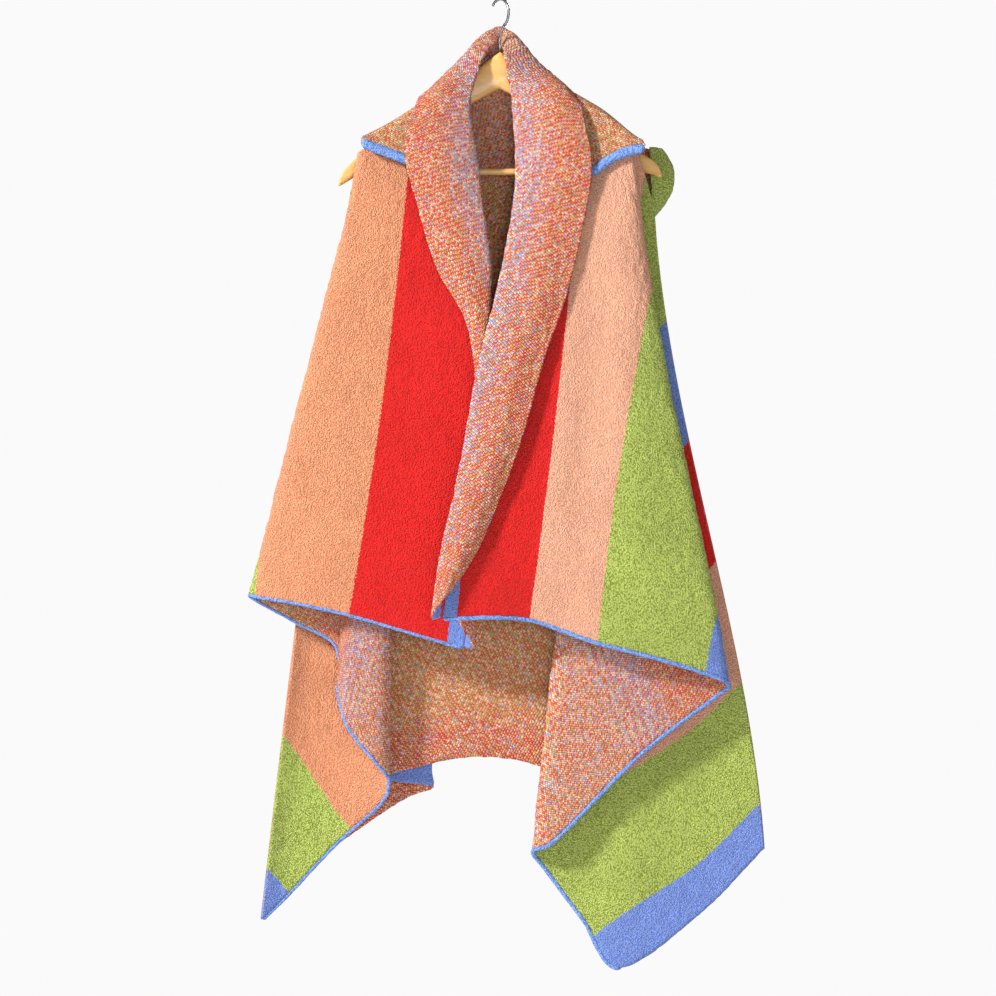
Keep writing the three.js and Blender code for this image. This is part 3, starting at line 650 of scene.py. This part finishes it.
def pile_group(name):
    """Looped pile: 1 at the top of each loop and 0 in the gaps."""
    inputs = [("Place", "NodeSocketVector", None), ("Scale", "NodeSocketFloat", 400.0)]
    group, start, end = new_group(name, inputs, [("Height", "NodeSocketFloat")])
    loops = group.nodes.new("ShaderNodeTexVoronoi")
    group.links.new(start.outputs["Place"], loops.inputs["Vector"])
    group.links.new(start.outputs["Scale"], loops.inputs["Scale"])
    fine = noise_node(group, start.outputs["Place"], 640, 2.0, 0.6)
    dome = math_node(group, "SUBTRACT", 1.05, math_node(group, "MULTIPLY", loops.outputs["Distance"], 1.25))
    rough = math_node(group, "MULTIPLY", math_node(group, "SUBTRACT", fine.outputs[0], 0.5), 1.2)
    height = group.nodes.new("ShaderNodeClamp")
    group.links.new(math_node(group, "ADD", dome, rough), height.inputs[0])
    group.links.new(height.outputs[0], end.inputs["Height"])
    return group


def pile_height(tree):
    pile = shared_group("loop_pile", pile_group)
    return use_group(tree, pile, Place=object_coordinates(tree), Scale=PILE_SCALE).outputs["Height"]


def add_bump(tree, shader, height, strength, distance):
    bump = tree.nodes.new("ShaderNodeBump")
    bump.inputs["Strength"].default_value = strength
    bump.inputs["Distance"].default_value = distance
    tree.links.new(height, bump.inputs["Height"])
    tree.links.new(bump.outputs[0], shader.inputs["Normal"])


def new_knit(name):
    material = bpy.data.materials.new(name)
    material.use_nodes = True
    shader = material.node_tree.nodes["Principled BSDF"]
    shader.inputs["Roughness"].default_value = 0.95
    shader.inputs["Specular IOR Level"].default_value = 0.12
    return material, material.node_tree, shader


def stripe_colour(tree, stripe, colours, salmon):
    place = math_node(tree, "DIVIDE", math_node(tree, "ADD", stripe, 0.5), len(STRIPES))
    yarns = [salmon if yarn == "salmon" else yarn for yarn in STRIPES]
    stops = [(number / len(STRIPES), colours[yarn]) for number, yarn in enumerate(yarns)]
    return ramp_node(tree, place, stops, "CONSTANT")


def plush_material(name, salmon="salmon"):
    """The cloth's right side: looped pile in broad stripes that follow the flat cloth."""
    material, tree, shader = new_knit(name)
    uv = stitch_coordinates(tree)
    stripe = use_group(tree, shared_group("stripe_place", stripe_group), Cloth=uv).outputs[0]
    height = pile_height(tree)
    tip = stripe_colour(tree, stripe, TIP, salmon)
    gap = stripe_colour(tree, stripe, GAP_SHADE, salmon)
    # Painted shade: the low parts of the pile take the darker gap colour, the loop tops the tip colour
    depth = ramp_node(tree, height, [(0.0, (0.0,) * 3), (0.55, (1.0,) * 3)])
    colour = mix_colours(tree, "MIX", depth, gap, tip)
    broad = noise_node(tree, uv, 14, 2.0)
    patch = ramp_node(tree, broad.outputs[0], [(0.3, (0.93,) * 3), (0.7, (1.05,) * 3)])
    colour = mix_colours(tree, "MULTIPLY", 1.0, colour, patch)
    tree.links.new(colour, shader.inputs["Base Color"])
    shader.inputs["Sheen Weight"].default_value = 0.12
    shader.inputs["Sheen Roughness"].default_value = 0.5
    add_bump(tree, shader, height, 1.0, 0.003)
    return material


def marl_tone(face):
    return sum(np.array(MARL[yarn]) * share for yarn, share in MARL_SHARES[face].items())


def marl_material(name):
    """The cloth's wrong side: birdseye stitches in all the yarns, in shares that change with the stripes."""
    material, tree, shader = new_knit(name)
    uv = stitch_coordinates(tree)
    stitch = use_group(tree, shared_group("birdseye_stitches", birdseye_group), Cloth=uv)
    spread = math_node(tree, "MULTIPLY", math_node(tree, "SUBTRACT", stitch.outputs["Chance"], 0.5), 0.26)
    behind = use_group(tree, shared_group("stripe_place", stripe_group), Cloth=uv, Shift=spread)
    face = behind.outputs["Stripe"]
    from_red = math_node(tree, "ABSOLUTE", math_node(tree, "SUBTRACT", face, STRIPES.index("red")))
    is_red = math_node(tree, "LESS_THAN", from_red, 0.5)
    far = math_node(tree, "LESS_THAN", math_node(tree, "ADD", behind.outputs["Across"], spread), 0.62)
    far_red = math_node(tree, "MULTIPLY", is_red, far)
    face = math_node(tree, "ADD", face, math_node(tree, "MULTIPLY", far_red, 2.0))
    faces = list(MARL_SHARES)
    place = math_node(tree, "DIVIDE", math_node(tree, "ADD", face, stitch.outputs["Pick"]), len(faces))
    stops = []
    for number, yarn_face in enumerate(faces):
        at = 0.0
        for yarn, share in MARL_SHARES[yarn_face].items():
            stops.append(((number + at) / len(faces), MARL[yarn]))
            at += share
    colour = ramp_node(tree, place, stops, "CONSTANT")
    tones = [(number / len(faces), tuple(marl_tone(yarn_face))) for number, yarn_face in enumerate(faces)]
    tone = ramp_node(tree, place, tones, "CONSTANT")
    colour = mix_colours(tree, "MIX", 0.24, colour, tone)
    # Painted shade and highlight: the gaps between the stitches are darkened to about a quarter, the stitch
    # tops made lighter than their yarn
    depth = ramp_node(tree, stitch.outputs["Height"], [(0.0, (0.26,) * 3), (0.62, (1.13,) * 3)])
    colour = mix_colours(tree, "MULTIPLY", 1.0, colour, depth)
    tree.links.new(colour, shader.inputs["Base Color"])
    add_bump(tree, shader, stitch.outputs["Height"], 0.7, 0.0025)
    return material


def edging_material(name):
    material, tree, shader = new_knit(name)
    height = pile_height(tree)
    # Painted shade: the low parts of the pile take the darker gap colour
    colour = ramp_node(tree, height, [(0.1, EDGING["gap"]), (0.7, EDGING["tip"])])
    tree.links.new(colour, shader.inputs["Base Color"])
    add_bump(tree, shader, height, 0.8, 0.0025)
    return material


def wood_material(name):
    material = bpy.data.materials.new(name)
    material.use_nodes = True
    tree = material.node_tree
    shader = tree.nodes["Principled BSDF"]
    coords = tree.nodes.new("ShaderNodeTexCoord")
    mapping = tree.nodes.new("ShaderNodeMapping")
    mapping.inputs["Scale"].default_value = (9, 60, 60)
    tree.links.new(coords.outputs["Object"], mapping.inputs["Vector"])
    grain = noise_node(tree, mapping.outputs[0], 3.0, 4.0, 0.6)
    colour = ramp_node(tree, grain.outputs[0], [(0.3, (0.64, 0.34, 0.09)), (0.7, (0.78, 0.46, 0.15))])
    tree.links.new(colour, shader.inputs["Base Color"])
    shader.inputs["Roughness"].default_value = 0.38
    shader.inputs["Coat Weight"].default_value = 0.12
    return material


def steel_material(name):
    material = bpy.data.materials.new(name)
    material.use_nodes = True
    shader = material.node_tree.nodes["Principled BSDF"]
    shader.inputs["Base Color"].default_value = (0.30, 0.30, 0.31, 1)
    shader.inputs["Metallic"].default_value = 1.0
    shader.inputs["Roughness"].default_value = 0.24
    return material


def shared(name, maker, *args):
    return bpy.data.materials.get(name) or maker(name, *args)


def plush(pale=False):
    # The lighter copy is the same yarn with painted light: its salmon stripes are lighter and paler
    if pale:
        return shared("striped_plush_lit", plush_material, "lit salmon")
    return shared("striped_plush", plush_material)


def marl():
    return shared("birdseye_marl", marl_material)


# Finer folds that the cloth has between the fold lines, on the flat cloth: from (across, up) to (across, up),
# how wide and how deep, in millimetres. A positive depth stands out from the right side.

Crease = namedtuple("Crease", "from_across from_up to_across to_up width depth")

FRONT_CREASES = (
    Crease(880, 640, 760, 120, 42, 5),
    Crease(980, 560, 930, 80, 50, 5),
    Crease(1050, 620, 1040, 60, 46, -4),
)


# Small waves of the cloth, in millimetres, from the broad ones to the pile's unevenness

Wave = namedtuple("Wave", "height length seed_step octaves")

WAVES = (
    Wave(1.6, 95.0, 0, 2),
    Wave(0.5, 22.0, 3, 2),
    Wave(0.9, 5.6, 7, 1),
)

# The two fronts and the back: which way the right side faces, the rows below the armpit, and the width along
# the selvedge in metres

Sheet = namedtuple("Sheet", "name folds drop right_sign seed rows creases pale width")

# The flag before the width gives a front the lighter copy of the plush, which is painted light on the wearer's
# left front
PANELS = (
    Sheet("front_left", LEFT_FRONT_FOLDS, FRONT_DROP, -1, 1, 150, FRONT_CREASES, True, 1.3),
    Sheet("front_right", RIGHT_FRONT_FOLDS, FRONT_DROP, 1, 2, 150, (), False, 1.3),
    Sheet("back", BACK_FOLDS, BACK_DROP, -1, 3, 138, (), False, 1.25),
)


def apply_creases(points, cloth, right_sign, creases, seed):
    normals = grid_normals(points) * right_sign
    lift = np.zeros(points.shape[:2])
    for wave in WAVES:
        lift += wave.height * smooth_noise(cloth, wave.length, seed + wave.seed_step, wave.octaves)
    for crease in creases:
        a = np.array([crease.from_across, crease.from_up], float)
        b = np.array([crease.to_across, crease.to_up], float)
        along = (b - a) / np.linalg.norm(b - a)
        rel = cloth - a
        s = np.clip(rel @ along, 0, np.linalg.norm(b - a))
        distance = np.linalg.norm(rel - s[..., None] * along, axis=-1)
        lift = lift + crease.depth * np.exp(-((distance / crease.width) ** 2))
    return points + normals * lift[..., None]


def panel(folds, drop, spacing, rows):
    lines = fold_lines(folds, drop, ROWS_ABOVE_ARMPIT, rows)
    cloths = flat_cloth(folds, lines, ROWS_ABOVE_ARMPIT, rows, folds is BACK_FOLDS)
    counts = counts_for(lines, spacing)
    return fill_between(lines, counts), fill_between(cloths, counts), counts


def fade_edges(points, moved, width=8):
    """Keeps the outermost lines of a moved sheet in place, so that sheets still meet at their seams."""
    ni = points.shape[0]
    t = np.minimum(np.arange(ni), np.arange(ni)[::-1]) / width
    keep = np.clip(t, 0, 1)[:, None, None]
    return points + (moved - points) * keep


def section_grid(sections, spacing_along, spacing_across):
    lines = np.array([[np.array(p, float) for p in section] for section in sections])
    lines = fill_between(lines, counts_for(lines, spacing_along))
    lines = lines.transpose(1, 0, 2)
    lines = fill_between(lines, counts_for(lines, spacing_across))
    return lines.transpose(1, 0, 2)


def arc_cloth(points, first_edge):
    """Flat coordinates for a strip: arc length along its middle, and across back from its first edge."""
    middle = points[:, points.shape[1] // 2]
    along = np.concatenate([[0], np.cumsum(np.linalg.norm(np.diff(middle, axis=0), axis=1))])
    widths = np.linalg.norm(np.diff(points, axis=1), axis=2)
    across = np.concatenate([np.zeros((len(points), 1)), np.cumsum(widths, axis=1)], axis=1)
    along = np.repeat(along[:, None], points.shape[1], axis=1)
    return np.stack([first_edge * MM_PER_PIXEL - across, along], axis=-1)


def hem_tube(name, points, right_sign, radius, gap, material, last=None, pile=0.5):
    """A knitted roll just past the lower edge of a sheet."""
    normals = grid_normals(points) * right_sign
    hem = points[:last, -1]
    along = unit(np.gradient(hem, axis=0))
    normal = normals[:last, -1]
    out = unit(np.cross(along, normal))
    down = hem - points[:last, -2]
    out = np.where((out * down).sum(axis=1, keepdims=True) < 0, -out, out)
    centres = hem + out * (radius + gap)
    return tube(name, centres, out, normal, radius, 12, material, pile)


class PonchoSettings(bpy.types.PropertyGroup):
    wall: bpy.props.FloatProperty(
        name="Cloth thickness",
        description="Thickness of the knitted cloth, pile included",
        default=0.004,
        unit="LENGTH",
    )
    grid: bpy.props.FloatProperty(
        name="Sheet grid",
        description="Widest spacing of the points across a front or the back",
        default=0.0052,
        unit="LENGTH",
    )


class PONCHO_OT_panels(bpy.types.Operator):
    """Builds the two fronts and the back, each as a thin knitted shell with its folds"""

    bl_idname = "poncho.panels"
    bl_label = "Fronts and Back"

    def execute(self, context):
        settings = context.scene.poncho
        spacing = settings.grid * 1000
        wall = settings.wall * 1000
        for name, folds, drop, sign, seed, rows, creases, pale, width in PANELS:
            points, cloth, counts = panel(folds, drop, spacing, rows)
            moved = apply_creases(points, cloth, sign, creases, seed)
            points = fade_edges(points, moved)
            obj = shell(f"knit_{name}", points, cloth, sign, [plush(pale), marl()], wall)
            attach(obj, "root")
            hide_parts(name)
            if name != "back":
                last = sum(counts[: [f.name for f in folds].index("lower corner")]) + 1
                side = name.split("_")[1]
                yarn = shared("edging_yarn", edging_material)
                edge = hem_tube(f"knit_edging_{side}", points, sign, EDGING_RADIUS[side], 0.0, yarn, last)
                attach(edge, "root")
                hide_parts(f"edging_{side}")
        return {"FINISHED"}


class PONCHO_OT_collar(bpy.types.Operator):
    """Builds the shawl collar, rolled wrong side out"""

    bl_idname = "poncho.collar"
    bl_label = "Collar"

    def execute(self, context):
        wall = context.scene.poncho.wall * 1000
        points = section_grid(COLLAR_SECTIONS, *COLLAR_GRID)
        near_edge = np.linspace(1, 0, points.shape[1])[None, :] ** 3
        level = (points[..., 2] - STANDING_EDGE["z"]) / STANDING_EDGE["reach"]
        standing = np.exp(-(level**4)) * (points[:, :1, 0] > 0)
        points[..., 1] -= STANDING_EDGE["forward"] * near_edge * standing
        cloth = arc_cloth(points, COLLAR_EDGE)
        moved = apply_creases(points, cloth, -1, (), 5)
        points = fade_edges(points, moved)
        obj = shell("knit_collar", points, cloth, -1, [plush(), marl()], wall)
        for face in obj.data.polygons:
            if face.center.z > NECK_LEVEL * 0.001:
                face.material_index = 1
        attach(obj, "root")
        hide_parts("collar")
        return {"FINISHED"}


class PONCHO_OT_yokes(bpy.types.Operator):
    """Builds the two yokes and the thick bands along their lower edges"""

    bl_idname = "poncho.yokes"
    bl_label = "Yokes and Bands"

    def execute(self, context):
        wall = context.scene.poncho.wall * 1000
        yarn = shared("edging_yarn", edging_material)
        for side, mirror, sections in (("left", 1, LEFT_YOKE_SECTIONS), ("right", -1, RIGHT_YOKE_SECTIONS)):
            points = section_grid(sections, *YOKE_GRID)
            cloth = arc_cloth(points, YOKE_EDGE)
            obj = shell(f"knit_yoke_{side}", points, cloth, mirror, [plush(), marl()], wall)
            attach(obj, "root")
            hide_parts(f"yoke_{side}")
            name = f"knit_yoke_band_{side}"
            band = hem_tube(name, points, mirror, BAND_RADIUS, BAND_GAP, yarn, pile=BAND_PILE)
            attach(band, "root")
            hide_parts(f"yoke_band_{side}")
        return {"FINISHED"}


def hanger_rings(count, sides):
    rings = []
    for x in np.linspace(-HANGER["reach"], HANGER["reach"], count):
        share = abs(x) / HANGER["reach"]
        rise = (x - HANGER["lift_from"]) / (HANGER["reach"] - HANGER["lift_from"])
        rise = min(max(rise, 0.0), 1.0)
        lift = HANGER["left_tip_lift"] * rise * rise * (3 - 2 * rise)
        top = HANGER["peak_z"] - SHOULDER_SLOPE * abs(x) + lift
        fall = HANGER["under_slope"] * abs(x)
        bottom = HANGER["peak_z"] - HANGER["peak_drop"] - fall - HANGER["under_curve"] * x * x + lift
        near_tip = max(0.0, (share - HANGER["rounded_from"]) / HANGER["rounded_over"])
        rounded = math.sqrt(max(0.0, 1 - near_tip**2))
        height = max(HANGER["least_height"], (top - bottom) * (0.25 + 0.75 * rounded))
        middle = (top + bottom) / 2 - 6 * (1 - rounded)
        thickness = HANGER["middle"] + (HANGER["tip"] - HANGER["middle"]) * math.sqrt(share)
        y = -HANGER["sweep"] * share**1.6
        angles = np.arange(sides) * 2 * np.pi / sides
        c, s = np.cos(angles), np.sin(angles)
        ring = np.stack(
            [
                np.full(sides, x),
                y + thickness / 2 * np.sign(c) * np.abs(c) ** 0.6,
                middle + height / 2 * np.sign(s) * np.abs(s) ** 0.6,
            ],
            axis=1,
        )
        rings.append(ring)
    return np.array(rings)


def wire_centres():
    turn = math.radians(HOOK["turn"])
    ring_z = HOOK["wire"] - HOOK["ring"]
    points = [(0, 0, HOOK["shank_z"] + 0.3), (0, 0, ring_z - 1.6 * HOOK["ring"])]
    for degrees in range(HOOK["start"], HOOK["end"] + 1, HOOK["step"]):
        angle = math.radians(degrees)
        out = HOOK["ring"] * math.cos(angle)
        points.append((out * math.cos(turn), -out * math.sin(turn), ring_z + HOOK["ring"] * math.sin(angle)))
    return np.array(points, float)


class PONCHO_OT_hanger(bpy.types.Operator):
    """Builds the contoured wooden hanger, its trouser bar and its wire hook"""

    bl_idname = "poncho.hanger"
    bl_label = "Hanger"

    def execute(self, context):
        wood = shared("lacquered_beech", wood_material)
        arms = ring_object("knit_hanger_arms", hanger_rings(121, 32), wood)
        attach(arms, "root")
        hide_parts("hanger_arms")
        x = np.linspace(-BAR["reach"], BAR["reach"], BAR["steps"])
        centres = np.stack([x, np.full(len(x), BAR["y"]), np.full(len(x), BAR["z"])], axis=1)
        across = np.tile([0.0, 1.0, 0.0], (len(x), 1))
        over = np.tile([0.0, 0.0, 1.0], (len(x), 1))
        bar = tube("hanger_bar", centres, across, over, BAR["radius"], 24, wood)
        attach(bar, "root")
        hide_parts("trouser_bar")
        wire = wire_centres()
        lines = fill_between(wire[:, None, :], [3] * (len(wire) - 1))[:, 0]
        along = unit(np.gradient(lines, axis=0))
        turn = math.radians(HOOK["turn"])
        side = np.tile([math.sin(turn), math.cos(turn), 0.0], (len(lines), 1))
        steel = shared("wire_steel", steel_material)
        hook = tube("hanger_wire_hook", lines, unit(np.cross(along, side)), side, HOOK["wire"], 16, steel)
        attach(hook, "root")
        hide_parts("hanger_hook")
        return {"FINISHED"}


class PONCHO_OT_stage(bpy.types.Operator):
    """Sets up the pale floor, the soft lights and the camera"""

    bl_idname = "poncho.stage"
    bl_label = "Stage"

    def execute(self, context):
        scene = context.scene
        mesh = bpy.data.meshes.new("floor")
        low, back = -FLOOR["reach"], FLOOR["back"]
        corners = [(low, low), (-low, low), (-low, back), (low, back)]
        mesh.from_pydata([(x, y, FLOOR["level"]) for x, y in corners], [], [(0, 1, 2, 3)])
        floor = link_object("floor", mesh)
        pale = bpy.data.materials.new("pale_floor")
        pale.use_nodes = True
        shader = pale.node_tree.nodes["Principled BSDF"]
        shader.inputs["Base Color"].default_value = (0.9, 0.9, 0.91, 1)
        shader.inputs["Roughness"].default_value = 0.9
        mesh.materials.append(pale)
        world = bpy.data.worlds.new("studio")
        world.use_nodes = True
        tree = world.node_tree
        seen = tree.nodes["Background"]
        seen.inputs["Color"].default_value = (0.965, 0.955, 0.96, 1)
        soft = tree.nodes.new("ShaderNodeBackground")
        soft.inputs["Color"].default_value = (0.95, 0.96, 1.0, 1)
        soft.inputs["Strength"].default_value = ROOM_STRENGTH
        rays = tree.nodes.new("ShaderNodeLightPath")
        either = tree.nodes.new("ShaderNodeMixShader")
        tree.links.new(rays.outputs["Is Camera Ray"], either.inputs[0])
        tree.links.new(soft.outputs[0], either.inputs[1])
        tree.links.new(seen.outputs[0], either.inputs[2])
        tree.links.new(either.outputs[0], tree.nodes["World Output"].inputs["Surface"])
        scene.world = world
        scene.view_settings.view_transform = "Standard"
        for name, place, size, power in LIGHTS:
            light = bpy.data.lights.new(name, "AREA")
            light.size = size
            light.energy = power
            lamp = bpy.data.objects.new(name, light)
            lamp.location = place
            lamp.rotation_euler = (Vector(LIGHT_AIM) - Vector(place)).to_track_quat("-Z", "Y").to_euler()
            scene.collection.objects.link(lamp)
        data = bpy.data.cameras.new("camera")
        width = PHOTO_SIZE * MM_PER_PIXEL * 0.001
        data.sensor_width = SENSOR
        data.lens = SENSOR * CAMERA_DISTANCE / width
        data.clip_end = 60
        camera = bpy.data.objects.new("camera", data)
        camera.location = (VIEW_CENTRE[0], -CAMERA_DISTANCE - 0.03, VIEW_CENTRE[1])
        camera.rotation_euler = (math.radians(90), 0, 0)
        scene.collection.objects.link(camera)
        scene.camera = camera
        return {"FINISHED"}


class PONCHO_PT_panel(bpy.types.Panel):
    bl_label = "Poncho"
    bl_space_type = "VIEW_3D"
    bl_region_type = "UI"
    bl_category = "Poncho"

    def draw(self, context):
        layout = self.layout
        layout.prop(context.scene.poncho, "wall")
        layout.prop(context.scene.poncho, "grid")
        for operator in OPERATORS:
            layout.operator(operator.bl_idname)


OPERATORS = (PONCHO_OT_hanger, PONCHO_OT_panels, PONCHO_OT_yokes, PONCHO_OT_collar, PONCHO_OT_stage)
CLASSES = (PonchoSettings, *OPERATORS, PONCHO_PT_panel)


def register():
    for cls in CLASSES:
        bpy.utils.register_class(cls)
    bpy.types.Scene.poncho = bpy.props.PointerProperty(type=PonchoSettings)


def unregister():
    del bpy.types.Scene.poncho
    for cls in reversed(CLASSES):
        bpy.utils.unregister_class(cls)


def main():
    register()
    bpy.ops.poncho.hanger()
    bpy.ops.poncho.panels()
    bpy.ops.poncho.yokes()
    bpy.ops.poncho.collar()
    bpy.ops.poncho.stage()


if __name__ == "__main__":
    main()
